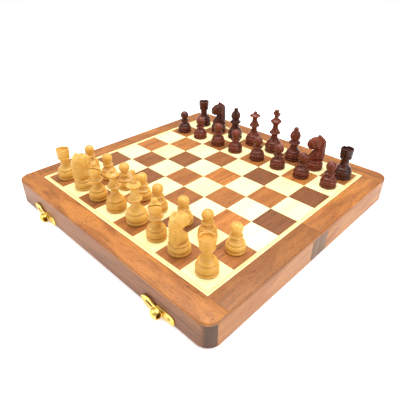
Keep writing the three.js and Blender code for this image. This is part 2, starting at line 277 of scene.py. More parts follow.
def wood(name, light, dark, streak, streaks=0.5, flecks=0.5, tone_to=None, tone_share=1.0,
         rough=(0.4, 0.6), coat=0.08, figure=(7, 55, 55), specular=0.3, end=None, end_from=0.45,
         fibres=0.12, pores=(170, 1500), band=(4, 150)):
    """Timber whose fibres run along the first axis of the grain attribute.

    light and dark are the ends of its broad figure, streak the colour of its dark bands and
    pores, tone_to the timber that pieces lean to by their own tone, end its end grain. figure,
    band and pores say how often those come per metre, along the fibres and then across them.
    """
    s = Shader(name, coat_weight=coat, coat_roughness=0.25, specular_ior_level=specular)
    place = s.attribute("grain").outputs["Vector"]
    tone = s.attribute("tone").outputs["Fac"]
    broad = s.noise(place, figure, 3.0, 0.55, 0.8)
    colour = s.ramp(broad, (0.34, linear(light)), (0.66, linear(dark)))
    if tone_to:
        colour = s.mix(s.math("MULTIPLY", tone, tone_share), colour, linear(tone_to))
    bands = s.noise(place, (band[0], band[1], band[1]), 4.0, 0.6, 1.2)
    bands = s.ramp(bands, (0.5, 0.0), (0.72, 1.0))
    colour = s.mix(s.math("MULTIPLY", bands, streaks), colour, linear(streak))
    fibre = s.noise(place, (45, 1100, 1100), 2.0, 0.6)
    colour = s.mix(1.0, colour, s.ramp(fibre, (0.3, 1 - fibres), (0.7, 1 + fibres / 2)), "MULTIPLY")
    pore = s.noise(place, (pores[0], pores[1], pores[1]), 1.0, 0.5)
    pore = s.ramp(pore, (0.58, 0.0), (0.68, 1.0))
    colour = s.mix(s.math("MULTIPLY", pore, flecks), colour, linear(streak))
    if end:
        cut = s.ramp(s.attribute("end").outputs["Fac"], (end_from, 0.0), (end_from + 0.3, 0.9))
        colour = s.mix(cut, colour, linear(end))
    s.colour(colour)
    s.roughness(fibre, *rough)
    s.bump(s.math("SUBTRACT", fibre, pore), 0.00006, 0.35)
    return s.material


def brass_metal():
    s = Shader("polished_brass", metallic=1.0)
    place = s.add("TexCoord").outputs["Object"]
    wear = s.noise(place, (260, 260, 260), 4.0, 0.6)
    s.colour(s.ramp(wear, (0.3, linear("EFC458")), (0.75, linear("F8DC84"))))
    fine = s.noise(place, (2400, 900, 2400), 2.0, 0.5)
    s.roughness(s.math("MULTIPLY", wear, fine), 0.22, 0.6)
    s.bump(fine, 0.00003, 0.25)
    return s.material


def screw_metal():
    s = Shader("screw_brass", metallic=1.0)
    place = s.add("TexCoord").outputs["Object"]
    wear = s.noise(place, (700, 700, 700), 3.0, 0.6)
    s.colour(s.ramp(wear, (0.3, linear("A9812F")), (0.75, linear("D9AE4A"))))
    s.roughness(wear, 0.25, 0.5)
    return s.material


def felt_cloth(name, dark, light):
    s = Shader(name, sheen_weight=0.6, sheen_roughness=0.5, specular_ior_level=0.1)
    place = s.add("TexCoord").outputs["Object"]
    fuzz = s.noise(place, (1800, 1800, 1800), 5.0, 0.7, 0.6)
    patch = s.noise(place, (30, 30, 30), 2.0, 0.5)
    both = s.math("MULTIPLY", s.math("ADD", fuzz, patch), 0.5)
    s.colour(s.ramp(both, (0.35, linear(dark)), (0.65, linear(light))))
    s.roughness(fuzz, 0.85, 1.0)
    s.bump(fuzz, 0.0004, 0.6)
    return s.material


def plywood():
    s = Shader("birch_plywood", specular_ior_level=0.3)
    place = s.add("TexCoord").outputs["Object"]
    plies = s.noise(place, (3, 3, 1600), 1.0, 0.3)
    face = s.noise(place, (12, 240, 60), 4.0, 0.6, 0.5)
    colour = s.ramp(face, (0.3, linear("D9BE93")), (0.7, linear("C4A273")))
    s.colour(s.mix(s.ramp(plies, (0.45, 0.0), (0.55, 0.35)), colour, linear("8A6540")))
    s.roughness(face, 0.6, 0.8)
    s.bump(face, 0.0001, 0.3)
    return s.material


M = {
    "plank": wood("frame_rosewood", "BE7A38", "985A28", "4A2A16", streaks=0.3, flecks=0.55,
                  tone_to="845430", tone_share=0.8, end="8A5A36", end_from=0.6, figure=(16, 60, 60),
                  pores=(240, 1700), band=(9, 170)),
    # The end walls are the same rosewood as the side walls; their darker, greyer colours are painted
    # shade, for faces turned from the light.
    "shaded_end_wall": wood("end_wall_rosewood_painted_shade", "9E6840", "7C4C2C", "402212", streaks=0.45, flecks=0.35,
                  tone_to="8E6042", tone_share=0.4, end="4A3020", end_from=0.3),
    # The side walls' lighter, tanner colours are painted light on that same rosewood.
    "side": wood("side_wall_rosewood_painted_light", "BC8450", "9A6234", "6E462C", streaks=0.35, flecks=0.4,
                 tone_to="AC7244", tone_share=0.6, end="6A4836", figure=(12, 70, 70),
                 pores=(200, 1600), band=(7, 120)),
    "fold": wood("fold_wall_rosewood", "A27048", "845634", "4A2C1C", streaks=0.4, flecks=0.5,
                 end="6A4E38", end_from=0.4),
    "light": wood("light_veneer", "FCEFAC", "F4E298", "DCC080", streaks=0.2, flecks=0.05,
                  tone_to="FFFDF0", rough=(0.35, 0.5), fibres=0.04),
    "dark": wood("dark_veneer", "CA803C", "AA662A", "4E2A16", streaks=0.45, flecks=0.55,
                 tone_to="744629", rough=(0.35, 0.55), pores=(120, 1100), band=(5, 190)),
    "cream": wood("cream_stringing", "FBEDB2", "F5E3A0", "D8B878", streaks=0.1, flecks=0.04,
                  fibres=0.04),
    "brown": wood("tan_stringing", "D9A468", "C89256", "9A6A3C", streaks=0.2, flecks=0.2),
    "peach": wood("peach_stringing", "F6DA9C", "EFCB88", "D6A868", streaks=0.15, flecks=0.04,
                  fibres=0.04),
    "white": wood("golden_boxwood", "E0AA4C", "D2983C", "B0742A", streaks=0.12, flecks=0.04,
                  tone_to="E6BC60", tone_share=0.6, rough=(0.28, 0.42), coat=0.3,
                  figure=(12, 90, 90), fibres=0.05, end="C48C3C", end_from=0.8),
    "black": wood("stained_rosewood", "5A2616", "34140B", "140603", streaks=0.6, flecks=0.3,
                  tone_to="8A3C20", tone_share=0.7, rough=(0.2, 0.34), coat=0.25,
                  figure=(14, 120, 120), specular=0.2),
    "brass": brass_metal(),
    "screw": screw_metal(),
    "felt": felt_cloth("green_felt", "173820", "2C5A36"),
    # The pads are felt, and their near-black colour also paints the shade in the gap under each man's
    # foot.
    "pad": felt_cloth("pad_felt_and_painted_shade", "1B1512", "33281F"),
    "ply": plywood(),
}

# Shades of the squares: a row for each rank from the first, a digit for each square of the colour
# from the left, 0 the plainest and 9 the darkest dark or the whitest light. Planks go from 0 to 1.
DARK_SHADES = ("5634", "5474", "7751", "6448", "2713", "3688", "4532", "5465")
LIGHT_SHADES = ("1101", "1111", "1123", "1102", "0111", "1110", "1111", "1111")
PLANK_SHADES = {"near_end": 0.15, "near_left": 0.4, "near_right": 0.75,
                "far_end": 0.3, "far_left": 0.35, "far_right": 0.0}


# ---- Shells -----------------------------------------------------------------------------

def arc(x, y, radius, start, end, steps):
    """Points along an arc about (x, y), both ends among them."""
    angles = [start + (end - start) * i / steps for i in range(steps + 1)]
    return [(x + radius * math.cos(a), y + radius * math.sin(a)) for a in angles]


def round_outline(x0, x1, y0, y1, radius, steps=8):
    """A rectangle with round corners."""
    points = []
    corners = ((x1 - radius, y1 - radius), (x0 + radius, y1 - radius),
               (x0 + radius, y0 + radius), (x1 - radius, y0 + radius))
    for i, (x, y) in enumerate(corners):
        points += arc(x, y, radius, math.pi / 2 * i, math.pi / 2 * (i + 1), steps)
    return points


def envelope():
    """The outside of the whole open board: round upright corners, eased rims and top edges."""
    turns = [math.pi / 2 * i / 6 for i in range(7)]
    levels = [(RIM_Z + EDGE_R * (1 - math.sin(a)), EDGE_R * (1 - math.cos(a))) for a in turns[::-1]]
    levels += [(TOP_Z - EDGE_R * (1 - math.sin(a)), EDGE_R * (1 - math.cos(a))) for a in turns]
    loops = []
    for z, inset in levels:
        half = HALF - inset
        loops.append([(x, y, z) for x, y in round_outline(-half, half, -half, half,
                                                          CORNER_R - inset, 20)])
    count = len(loops[0])
    verts = [v for loop in loops for v in loop]
    faces = [list(range(count))[::-1], list(range(len(verts) - count, len(verts)))]
    for level in range(len(loops) - 1):
        a, b = level * count, (level + 1) * count
        faces += [(a + i, a + (i + 1) % count, b + (i + 1) % count, b + i) for i in range(count)]
    return add_object("envelope", make_mesh("envelope", verts, faces))


def timber(node):
    """A wall or plank: the part of the board's outside that lies in the CAD piece's box."""
    lo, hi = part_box(node)
    piece = block(node + "_timber", lo, hi, BLOCK_EASE)
    return boolean(piece, envelope(), "INTERSECT")


def fold_wall(name):
    """The wall at the fold, relieved along the hinge line and let out for the hinge leaves."""
    wall = timber(name + "_fold_wall")
    reach = FOLD_CHAMFER
    relief = prism("relief", [(reach, 0), (0, reach), (-reach, 0), (0, -reach)], -2 * HALF, 2 * HALF)
    move(relief, (0, 0, AXIS_Z), ALONG_X)
    boolean(wall, relief, "DIFFERENCE")
    margin = Vector((0.25, 0.25, 0.25)) * MM
    for hinge in ("left", "right"):
        lo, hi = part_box(f"{hinge}_hinge_{name}_leaf")
        low = Vector((lo.x, min(lo.y, 0), -MM)) - margin
        high = Vector((hi.x, max(hi.y, 0), RIM_Z + LEAF_T)) + margin
        boolean(wall, block("mortise", low, high), "DIFFERENCE")
    return wall


def joined(name, objects):
    """Several separate forms as one object."""
    form = bmesh.new()
    for obj in objects:
        form.from_mesh(obj.data)
        bpy.data.objects.remove(obj)
    mesh = bpy.data.meshes.new(name)
    form.to_mesh(mesh)
    form.free()
    return add_object(name, mesh)


def tile(name, file, rank, shade, side):
    """One square of veneer, its fibres along the file and its edges just eased."""
    seam = 0.05 * MM
    x = (file - 4) * SQUARE
    y = (rank - 4) * SQUARE
    y0, y1 = y + seam, y + SQUARE - seam
    if side < 0:
        y1 = min(y1, -FOLD_OUT)
    else:
        y0 = max(y0, FOLD_OUT)
    square = block(name, (x + seam, y0, TOP_Z - VENEER_T), (x + SQUARE - seam, y1, TOP_Z), 0.06 * MM)
    return cut_from(square, 1, f"{rank}{file}", int(shade) / 9)


def u_strip(name, outer, inner, side):
    """A line of stringing round three sides of one half of the chequer."""
    outline = [(-outer, FOLD_OUT), (-outer, outer), (outer, outer), (outer, FOLD_OUT),
               (inner, FOLD_OUT), (inner, inner), (-inner, inner), (-inner, FOLD_OUT)]
    outline = [(x, side * y) for x, y in outline]
    if side > 0:
        outline.reverse()
    return prism(name, outline, TOP_Z - VENEER_T, TOP_Z)


def playing_face(name, side):
    """Half of the chequer, a piece for each colour of square, and the stringing round it."""
    body = f"{name}_half"
    ranks = range(0, 4) if side < 0 else range(4, 8)
    groups = {"light": [], "dark": []}
    for rank in ranks:
        for file in range(8):
            kind = "dark" if (rank + file) % 2 == 0 else "light"
            shades = DARK_SHADES if kind == "dark" else LIGHT_SHADES
            groups[kind].append(tile("tile", file, rank, shades[rank][file // 2], side))
    for kind, tiles in groups.items():
        squares = joined(f"{name}_{kind}_squares", tiles)
        finish_piece(squares, M[kind], body)
    field = 4 * SQUARE
    gap = 0.02 * MM
    brown_in, brown_out = field + 2.1 * MM, field + 2.5 * MM
    lines = [("peach", field, brown_in), ("brown", brown_in, brown_out), ("cream", brown_out, SHEET)]
    for kind, inner, outer in lines:
        strip = u_strip(f"{name}_{kind}_line", outer - gap, inner + gap, side)
        cut_from(strip, 0, name + kind)
        finish_piece(strip, M[kind], body)


def ply_base(name, side):
    """The plywood that carries the veneer: a wide sheet between the planks, a base in the walls."""
    lo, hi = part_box(f"{name}_panel")
    clear = 0.1 * MM
    edge = SHEET - clear
    low_y, high_y = sorted((side * FOLD_OUT, side * edge))
    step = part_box("near_end_wall")[1].z
    base_lo, base_hi = Vector(lo), Vector(hi)
    if side < 0:
        base_hi.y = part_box(f"{name}_fold_wall")[0].y - clear
    else:
        base_lo.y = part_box(f"{name}_fold_wall")[1].y + clear
    base_hi.z = step
    top = TOP_Z - VENEER_T - 0.02 * MM
    sheet = block(f"{name}_plywood", (-edge, low_y, step + clear), (edge, high_y, top))
    middle = block("core", (-edge + MM, max(low_y, base_lo.y) + MM, step - MM),
                   (edge - MM, min(high_y, base_hi.y) - MM, step + MM))
    boolean(sheet, middle, "UNION")
    boolean(sheet, block("base", base_lo, base_hi), "UNION")
    return finish_piece(sheet, M["ply"], f"{name}_half", [f"{name}_panel"])


def tray(name):
    """Felt over the liner: the card and its divider rib with soft edges."""
    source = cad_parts[f"{name}_liner"]
    lining = add_object(f"{name}_felt_tray", source.data.copy())
    rework(lining.data, weld, lambda form: bmesh.ops.dissolve_limit(
        form, angle_limit=0.01, verts=form.verts, edges=form.edges))
    ease = lining.modifiers.new("ease", "BEVEL")
    ease.width = 0.6 * MM
    ease.segments = 3
    bake_modifiers(lining)
    smooth(lining)
    return finish_piece(lining, M["felt"], f"{name}_half", [f"{name}_liner"])


def shell(name, side):
    body = f"{name}_half"
    # End walls take the rosewood with painted shade, side walls the one with painted light.
    woods = {"end_wall": ("shaded_end_wall", 0), "left_wall": ("side", 1), "right_wall": ("side", 1),
             "end_plank": ("plank", 0), "left_plank": ("plank", 1), "right_plank": ("plank", 1)}
    for part, (kind, along) in woods.items():
        node = f"{name}_{part}"
        tone = PLANK_SHADES[f"{name}_{part[:-6]}"] if kind == "plank" else None
        piece = cut_from(smooth(timber(node)), along, node, tone)
        finish_piece(piece, M[kind], body, [node])
    wall = cut_from(smooth(fold_wall(name)), 0, name + "fold")
    finish_piece(wall, M["fold"], body, [f"{name}_fold_wall"])
    playing_face(name, side)
    ply_base(name, side)
    tray(name)


# ---- Brass ------------------------------------------------------------------------------

PIN_R = 0.5 * MM
LEAF_T = MM
LEAF_GAP = 0.3 * MM
HINGE_SCREW_PITCH = 10 * MM

PLATE_T = 0.8 * MM
PLATE_BACK = HALF + 0.1 * MM      # back faces, from the middle of the board
HOOK_T = 1.0 * MM
HOOK_BACK = HALF + 1.2 * MM
HOOK_REACH = 20.5 * MM
HOOK_HALF = 5.8 * MM
SLOT_HALF = 1.55 * MM
SLOT_RUN = 2.6 * MM               # each way from where the stud stands
HOOD_WIDE = 5.6 * MM              # half of its length
HOOD_HIGH = 4.5 * MM              # half of its height
HOOD_DROP = 1.2 * MM
HOOD_OPENING = 3.8 * MM           # from the pivot to its open end
HOOD_WALL = 0.7 * MM
RIVET_HOLE_R = 1.5 * MM
STUD_R = 1.25 * MM
KEEPER_SCREW_OUT = 3.9 * MM
REST_ANGLES = {"left": 158, "right": 172}     # where each leaf points, in degrees up from the right


def pressed(name, outline, thickness, ease, holes=()):
    """Sheet metal: a closed outline in X and Y with holes, given a thickness and eased edges."""
    curve = bpy.data.curves.new(name, "CURVE")
    curve.dimensions = "2D"
    curve.fill_mode = "BOTH"
    curve.extrude = thickness / 2 - ease
    curve.bevel_depth = ease
    curve.offset = -ease
    curve.bevel_resolution = 2
    for points in (outline, *holes):
        spline = curve.splines.new("POLY")
        spline.points.add(len(points) - 1)
        for point, (x, y) in zip(spline.points, points):
            point.co = (x, y, 0, 1)
        spline.use_cyclic_u = True
    shape = bpy.data.objects.new(name, curve)
    bpy.context.scene.collection.objects.link(shape)
    bpy.context.view_layer.update()
    mesh = bpy.data.meshes.new_from_object(shape.evaluated_get(bpy.context.evaluated_depsgraph_get()))
    bpy.data.objects.remove(shape)
    rework(mesh, weld)
    return add_object(name, mesh)


def turn(name, profile, segments=56):
    """Turns a profile of (radius, height) about the Z axis; it starts and ends on the axis."""
    rings = [p for p in profile if p[0] > 1e-9]
    verts = [(0, 0, profile[0][1])]
    for r, z in rings:
        for i in range(segments):
            angle = 2 * math.pi * i / segments
            verts.append((r * math.cos(angle), r * math.sin(angle), z))
    verts.append((0, 0, profile[-1][1]))
    last = len(verts) - 1
    faces = [(0, 1 + (i + 1) % segments, 1 + i) for i in range(segments)]
    for ring in range(len(rings) - 1):
        a = 1 + ring * segments
        b = a + segments
        faces += [(a + i, a + (i + 1) % segments, b + (i + 1) % segments, b + i)
                  for i in range(segments)]
    top = 1 + (len(rings) - 1) * segments
    faces += [(top + i, top + (i + 1) % segments, last) for i in range(segments)]
    return add_object(name, make_mesh(name, verts, faces))


def screw(name, place, outward, body, slot_turn, radius, plate=None):
    """A slotted screw head facing outward: a little proud, or sunk flush into the given plate."""
    high = 0.35 * MM
    turned = Vector((0, 0, 1)).rotation_difference(Vector(outward)).to_matrix().to_4x4()
    if plate:
        sink = 0.4 * MM
        seat = turn("seat", [(0, -sink), (radius * 1.05, -sink), (radius * 1.2, sink), (0, sink)], 24)
        move(seat, place, turned)
        boolean(plate, seat, "DIFFERENCE")
        place = Vector(place) - Vector(outward) * sink
    head = turn(name, [(0, -0.5 * MM), (radius * 0.8, -0.5 * MM), (radius, 0),
                       (radius * 0.93, high * 0.5), (radius * 0.55, high * 0.9), (0, high)], 24)
    slot_cut = block("slot", (-2 * radius, -0.2 * MM, high * 0.2), (2 * radius, 0.2 * MM, 2 * high))
    slot_cut.data.transform(Matrix.Rotation(slot_turn, 4, "Z"))
    boolean(head, slot_cut, "DIFFERENCE")
    move(head, place, turned)
    smooth(head)
    return finish_piece(head, M["screw"], body)


def barrel(name, x0, x1, radius):
    """A hinge knuckle, bore or pin along X on the hinge line."""
    ease = 0.15 * MM
    half = (x1 - x0) / 2
    piece = turn(name, [(0, -half), (radius - ease, -half), (radius, -half + ease),
                        (radius, half - ease), (radius - ease, half), (0, half)], 32)
    move(piece, ((x0 + x1) / 2, 0, AXIS_Z), ALONG_X)
    return piece


def hinge_leaf(hinge, name, side):
    """A leaf and its knuckles: two and the pin on the near leaf, one between them on the far."""
    node = f"{hinge}_hinge_{name}_leaf"
    lo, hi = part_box(node)
    x0, x1 = lo.x, hi.x
    third = (x1 - x0) / 3
    clear = BARREL_R + LEAF_GAP
    reach = max(abs(lo.y), abs(hi.y))
    z0, z1 = RIM_Z, RIM_Z + LEAF_T
    outline = round_outline(x0, x1, clear, reach, 0.8 * MM, 4)
    leaf = pressed(node + "_brass", outline, z1 - z0, 0.12 * MM)
    move(leaf, (0, 0, (z0 + z1) / 2), Matrix.Diagonal((1, side, 1, 1)))
    if side < 0:
        leaf.data.flip_normals()
    middle = LEAF_GAP / 2
    if name == "near":
        knuckles = [(x0, x0 + third - middle), (x1 - third + middle, x1)]
    else:
        knuckles = [(x0 + third + middle, x1 - third - middle)]
    for a, b in knuckles:
        web_y = sorted((side * BARREL_R * 0.5, side * (clear + 0.4 * MM)))
        boolean(leaf, block("web", (a, web_y[0], z0), (b, web_y[1], z1)), "UNION")
        boolean(leaf, barrel("knuckle", a, b, BARREL_R), "UNION")
        if name == "far":
            boolean(leaf, barrel("bore", a - MM, b + MM, PIN_R + LEAF_GAP), "DIFFERENCE")
    if name == "near":
        boolean(leaf, barrel("pin", x0 + MM, x1 - MM, PIN_R), "UNION")
    near_lo, near_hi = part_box(f"{hinge}_hinge_near_leaf")
    for i, share in enumerate((-1, 0, 1)):
        x = (near_lo.x + near_hi.x) / 2 + share * HINGE_SCREW_PITCH
        y = side * (clear + (reach - clear) * (0.42 if share == 0 else 0.62))
        screw(f"{hinge}_hinge_{name}_screw_{i + 1}", (x, y, z0), (0, 0, -1),
              f"{name}_half", 0.5 + share, 1.3 * MM, leaf)
    smooth(leaf)
    finish_piece(leaf, M["brass"], f"{name}_half", [node])


def wall_plate(name, outline, thickness, face_y, outward, holes=()):
    """Pressed brass upright along a wall: outline in X and Z, back face at face_y."""
    plate = pressed(name, outline, thickness, 0.16 * MM, holes)
    move(plate, (0, face_y + outward * thickness / 2, 0), TO_NEAR)
    return plate


def latch_plate(name, pivot):
    """A round plate with a wing for its screw, and the rivet that the hook turns on."""
    node = f"{name}_latch_plate"
    lo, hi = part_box(node)
    half = (hi.z - lo.z) / 2
    wing = hi.x - pivot.x
    neck = half * 0.8
    corner = half * 0.7
    start = math.asin(0.86)
    outline = arc(0, 0, half, start, 2 * math.pi - start, 32)
    outline += [(half * 0.85, -neck), (half * 1.1, -half)]
    outline += arc(wing - corner, corner - half, corner, -math.pi / 2, 0, 6)
    outline += arc(wing - corner, half - corner, corner, 0, math.pi / 2, 6)
    outline += [(half * 1.1, half), (half * 0.85, neck)]
    plate = wall_plate(node + "_brass", outline, PLATE_T, -PLATE_BACK, -1)
    rivet = turn("rivet", [(0, 0), (1.2 * MM, 0), (1.2 * MM, 2.0 * MM), (1.9 * MM, 2.05 * MM),
                           (1.75 * MM, 2.5 * MM), (1.0 * MM, 2.8 * MM), (0, 2.85 * MM)], 32)
    move(rivet, (0, -PLATE_BACK - 0.4 * MM, 0), TO_NEAR)
    boolean(plate, rivet, "UNION")
    move(plate, (pivot.x, 0, pivot.z))
    smooth(plate)
    finish_piece(plate, M["brass"], "near_half", [node])
    screw(f"{name}_latch_screw", (pivot.x + wing * 0.68, -PLATE_BACK - PLATE_T, pivot.z), (0, -1, 0),
          "near_half", 0.7, 1.6 * MM)


def leaf_outline(reach, half, steps=16):
    """The hook's leaf, pointing along +X: a narrow root, widest past its middle, and a point."""
    neck = half * 0.6
    widest = reach * 0.55
    rows = []
    curves = [((0, neck), (widest * 0.65, neck), (widest * 0.65, half), (widest, half)),
              ((widest, half), (widest * 1.3, half), (reach * 0.9, neck), (reach, 0))]
    for a, b, c, d in curves:
        for i in range(steps):
            t = i / steps
            weights = ((1 - t) ** 3, 3 * t * (1 - t) ** 2, 3 * t * t * (1 - t), t ** 3)
            rows.append(tuple(sum(w * p[k] for w, p in zip(weights, (a, b, c, d))) for k in (0, 1)))
    return [(reach, 0)] + rows[::-1] + [(x, -y) for x, y in rows]


def latch_hook(name, pivot):
    """The leaf with its slot for the stud, the round eye on the rivet, and the finger hood over it."""
    node = f"{name}_latch_hook"
    stud = 2 * (pivot.z - AXIS_Z)
    slot = round_outline(stud - SLOT_RUN - SLOT_HALF, stud + SLOT_RUN + SLOT_HALF,
                         -SLOT_HALF, SLOT_HALF, SLOT_HALF * 0.99)
    arm = wall_plate(node + "_brass", leaf_outline(HOOK_REACH, HOOK_HALF), HOOK_T, -HOOK_BACK, -1,
                     [slot])
    arm.data.transform(Matrix.Rotation(-math.radians(REST_ANGLES[name]), 4, "Y"))
    eye_outline = round_outline(-HOOD_WIDE, HOOD_WIDE, -HOOD_HIGH, HOOD_HIGH, HOOD_HIGH * 0.99)
    eye = wall_plate("eye", eye_outline, HOOK_T, -HOOK_BACK, -1)
    move(eye, (0, 0, -HOOD_DROP))
    boolean(arm, eye, "UNION")
    face = -HOOK_BACK - HOOK_T
    hood = hood_shell(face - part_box(node)[0].y)
    move(hood, (0, face + 0.05 * MM, -HOOD_DROP))
    boolean(arm, hood, "UNION")
    deep = 1.5 * MM
    hole = turn("hole", [(0, 0), (RIVET_HOLE_R, 0), (RIVET_HOLE_R, deep), (0, deep)], 32)
    move(hole, (0, -HOOK_BACK + 0.25 * MM, 0), TO_NEAR)
    boolean(arm, hole, "DIFFERENCE")
    move(arm, (pivot.x, 0, pivot.z))
    smooth(arm)
    finish_piece(arm, M["brass"], f"{name}_hook", [node])


def hood_shell(out):
    """Half of a hollow dome over the pivot, out metres proud, with its right end open."""
    end = math.acos(-HOOD_OPENING / HOOD_WIDE)
    start = 0.02
    rows, columns = 22, 28
    verts = []
    for less in (0.0, HOOD_WALL):
        for r in range(rows + 1):
            t = start + (end - start) * r / rows
            swell = math.sin(t) ** 0.7
            for c in range(columns + 1):
                turned = math.pi * c / columns
                verts.append((-(HOOD_WIDE - less) * math.cos(t),
                              -(out - less) * swell * math.sin(turned),
                              (HOOD_HIGH - less) * swell * math.cos(turned)))

    def at(layer, r, c):
        return (layer * (rows + 1) + r) * (columns + 1) + c

    faces = []
    for r in range(rows):
        for c in range(columns):
            faces.append((at(0, r, c), at(0, r, c + 1), at(0, r + 1, c + 1), at(0, r + 1, c)))
            faces.append((at(1, r, c), at(1, r + 1, c), at(1, r + 1, c + 1), at(1, r, c + 1)))
    for c in range(columns):
        for r in (rows, 0):
            faces.append((at(0, r, c), at(0, r, c + 1), at(1, r, c + 1), at(1, r, c)))
    for r in range(rows):
        for c in (0, columns):
            faces.append((at(0, r, c), at(0, r + 1, c), at(1, r + 1, c), at(1, r, c)))
    hood = add_object("hood", make_mesh("hood", verts, faces))
    rework(hood.data, lambda form: bmesh.ops.recalc_face_normals(form, faces=form.faces))
    return hood


def latch_keeper(name):
    """The plate on the far wall and its stud, which the hook's slot drops over."""
    node = f"{name}_latch_keeper"
    lo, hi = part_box(node)
    middle = (lo + hi) / 2
    half_w, half_h = (hi.x - lo.x) / 2, (hi.z - lo.z) / 2
    outline = round_outline(-half_w, half_w, -half_h, half_h, half_h * 0.99)
    plate = wall_plate(node + "_brass", outline, PLATE_T, PLATE_BACK, 1)
    proud = hi.y - PLATE_BACK
    nose = arc(0, proud - STUD_R, STUD_R, 0, math.radians(80), 8)
    stud = turn("stud", [(0, 0.3 * MM), (STUD_R, 0.3 * MM), *nose, (0, proud)], 32)
    move(stud, (0, PLATE_BACK, 0), TO_FAR)
    boolean(plate, stud, "UNION")
    move(plate, (middle.x, 0, middle.z))
    for label, sign in (("left", -1), ("right", 1)):
        place = (middle.x + sign * KEEPER_SCREW_OUT, PLATE_BACK + PLATE_T, middle.z)
        screw(f"{name}_keeper_{label}_screw", place, (0, 1, 0), "far_half", 0.3 + sign, 1.2 * MM, plate)
    smooth(plate)
    finish_piece(plate, M["brass"], "far_half", [node])


def latches():
    for name in REST_ANGLES:
        lo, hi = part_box(f"{name}_latch_keeper")
        pivot = Vector(((lo.x + hi.x) / 2, 0, (lo.z + hi.z) / 2))
        latch_plate(name, pivot)
        latch_hook(name, pivot)
        latch_keeper(name)


# ---- Men --------------------------------------------------------------------------------

def mould(points):
    """A profile of lines and arcs: (radius, height) or (radius, height, bulge) in millimetres.

    bulge is the tangent of a quarter of the arc's angle, positive where it swells outward.
    """
    made = [Vector(points[0][:2])]
    for point in points[1:]:
        start, end = made[-1], Vector(point[:2])
        bulge = point[2] if len(point) > 2 else 0
        if bulge:
            chord = end - start
            along = chord.normalized()
            normal = Vector((along.y, -along.x)) * math.copysign(1, bulge)
            angle = 4 * math.atan(abs(bulge))
            radius = chord.length / 2 / math.sin(angle / 2)
            centre = (start + end) / 2 - normal * radius * math.cos(angle / 2)
            steps = max(2, round(math.degrees(angle) / 11))
            for i in range(1, steps):
                a = angle * (i / steps - 0.5)
                made.append(centre + radius * (normal * math.cos(a) + along * math.sin(a)))
        made.append(end)
    return [(max(p.x, 0), p.y) for p in made]


def foot(r, rise):
    """The moulded foot: rim, swelling base and ring, with grooves between."""
    return [(0, 0), (r - 0.6, 0), (r - 0.1, 0.6, 0.4), (r - 0.1, 2.1, 0.12), (r - 1.2, 2.8, 0.2),
            (r - 1.2, 3.1), (r - 0.1, 4.6, 0.3), (r - 1.3, rise - 2.8, 0.25), (r - 2.0, rise - 2.4),
            (r - 2.0, rise - 2.1, -0.2), (r - 1.7, rise - 0.8, 0.5), (r - 2.5, rise, 0.2)]


PAWN = foot(9.1, 10.6) + [(3.7, 13.9, -0.25), (3.8, 14.3), (5.5, 15.0, -0.1), (5.5, 16.4, 0.6),
                          (3.6, 17.5, -0.1), (3.5, 18.83), (0, 28.8, 0.708)]
ROOK = foot(9.9, 12.3) + [(4.7, 17.6, -0.26), (4.6, 21.6, -0.05), (6.4, 23.6, -0.12),
                          (6.5, 24.8, 0.3), (6.2, 25.1), (7.0, 30.0, 0.1), (7.0, 34.4),
                          (6.8, 34.9, 0.3), (5.7, 34.9), (5.4, 34.5, 0.3), (5.1, 32.2),
                          (4.6, 31.9, -0.3), (0, 31.8)]
BISHOP = foot(9.6, 11.8) + [(4.5, 18.6, -0.22), (4.7, 19.2), (6.9, 21.2, -0.12), (6.9, 22.3, 0.6),
                            (5.5, 23.0, -0.1), (5.5, 24.0, 0.6), (4.6, 25.2, -0.2), (4.6, 25.8),
                            (6.2, 31.4, 0.26), (2.6, 37.2, 0.2), (2.5, 37.4), (2.9, 38.3, 0.2),
                            (0, 41.2, 0.5)]
QUEEN = foot(10.2, 12.6) + [(3.4, 21.6, -0.19), (3.5, 22.4), (6.3, 25.0, -0.12), (6.3, 26.3, 0.6),
                            (4.9, 27.2, -0.1), (4.9, 28.2, 0.6), (3.1, 34.4, -0.12), (3.2, 35.4),
                            (6.8, 38.2, -0.1), (6.9, 39.0, 0.5), (2.6, 40.6, 0.06),
                            (2.2, 41.2, -0.2), (0, 44.2, 0.6)]
KING = foot(10.5, 12.8) + [(3.8, 20.6, -0.19), (3.8, 21.6), (6.6, 24.2, -0.12), (6.6, 25.4, 0.6),
                           (5.0, 26.4, -0.1), (5.0, 27.4, 0.6), (3.2, 33.6, -0.12), (3.2, 34.2),
                           (6.5, 38.6, -0.1), (6.6, 39.8, 0.5), (5.8, 40.6, 0.1),
                           (3.6, 42.4, 0.1), (0, 42.6)]
PEDESTAL = foot(10.2, 11) + [(0, 11)]


def in_metres(obj):
    obj.data.transform(Matrix.Scale(MM, 4))
    return obj


def turned_man(kind, profile):
    return turn(kind, mould(profile))


def shape_pawn():
    return in_metres(turned_man("pawn", PAWN))


def shape_rook():
    """The rim is nicked in four places, by two cuts across it."""
    rook = turned_man("rook", ROOK)
    for angle in (math.pi / 4, math.pi * 3 / 4):
        nick = block("nick", (-12, -1.0, 34.1), (12, 1.0, 40))
        nick.data.transform(Matrix.Rotation(angle, 4, "Z"))
        boolean(rook, nick, "DIFFERENCE")
    return in_metres(rook)


def shape_bishop():
    """A slit is sawn into the mitre on a slant, from the +Y side."""
    bishop = turned_man("bishop", BISHOP)
    slit = block("slit", (-9, 0, -0.45), (9, 12, 0.45))
    move(slit, (0, 0.4, 31.4), Matrix.Rotation(math.radians(52), 4, "X"))
    boolean(bishop, slit, "DIFFERENCE")
    return in_metres(bishop)


